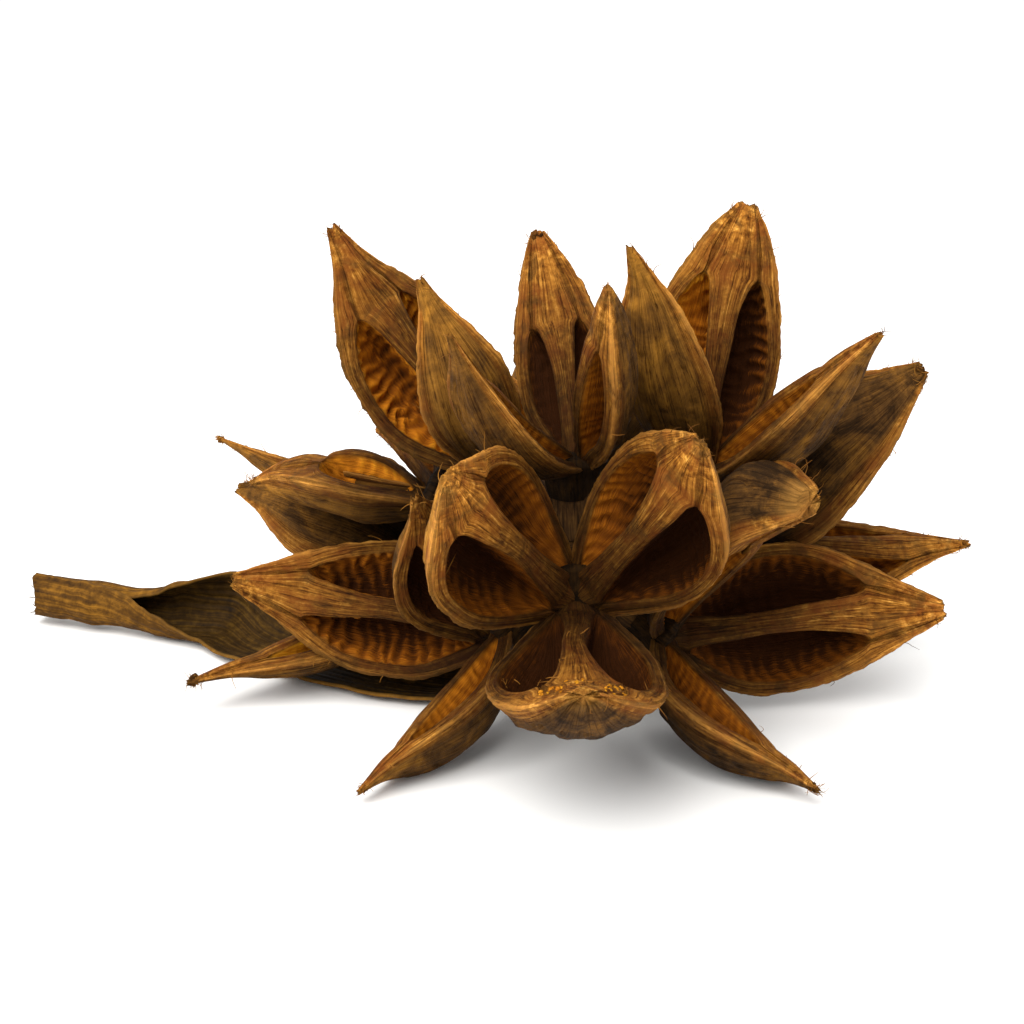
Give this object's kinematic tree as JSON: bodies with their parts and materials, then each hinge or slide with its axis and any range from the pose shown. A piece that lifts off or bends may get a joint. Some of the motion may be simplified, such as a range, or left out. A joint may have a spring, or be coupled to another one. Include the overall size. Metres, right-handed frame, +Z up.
{
  "type": "star pod",
  "caption": "Dried head of woody seed capsules, each split into a three-pointed star of ribbed valves, on a short cut stem with one rolled strap leaf. It rests on a table as decoration.",
  "frame": {"origin": "middle of the underside of the bounding box, on the surface that the head lies on", "axes": "+Z up; -Y towards the viewer that the open stars face; +X along the length, away from the leaf's rolled end"},
  "size_m": [0.342, 0.251, 0.1648],
  "materials": {
    "husk": "dry fibrous husk, matt, ochre to dark brown",
    "stem": "dry bark, matt, dark brown",
    "leaf": "dried leaf, matt, olive brown with parallel veins"
  },
  "bodies": {
    "root": {"capsule_front": "husk", "capsule_top_left": "husk", "capsule_top": "husk", "capsule_top_right": "husk", "capsule_right": "husk", "capsule_low_right": "husk", "capsule_low_left": "husk", "capsule_left": "husk", "capsule_far_left": "husk", "capsule_back": "husk", "stem": "stem", "leaf": "leaf"}
  },
  "joints": []
}
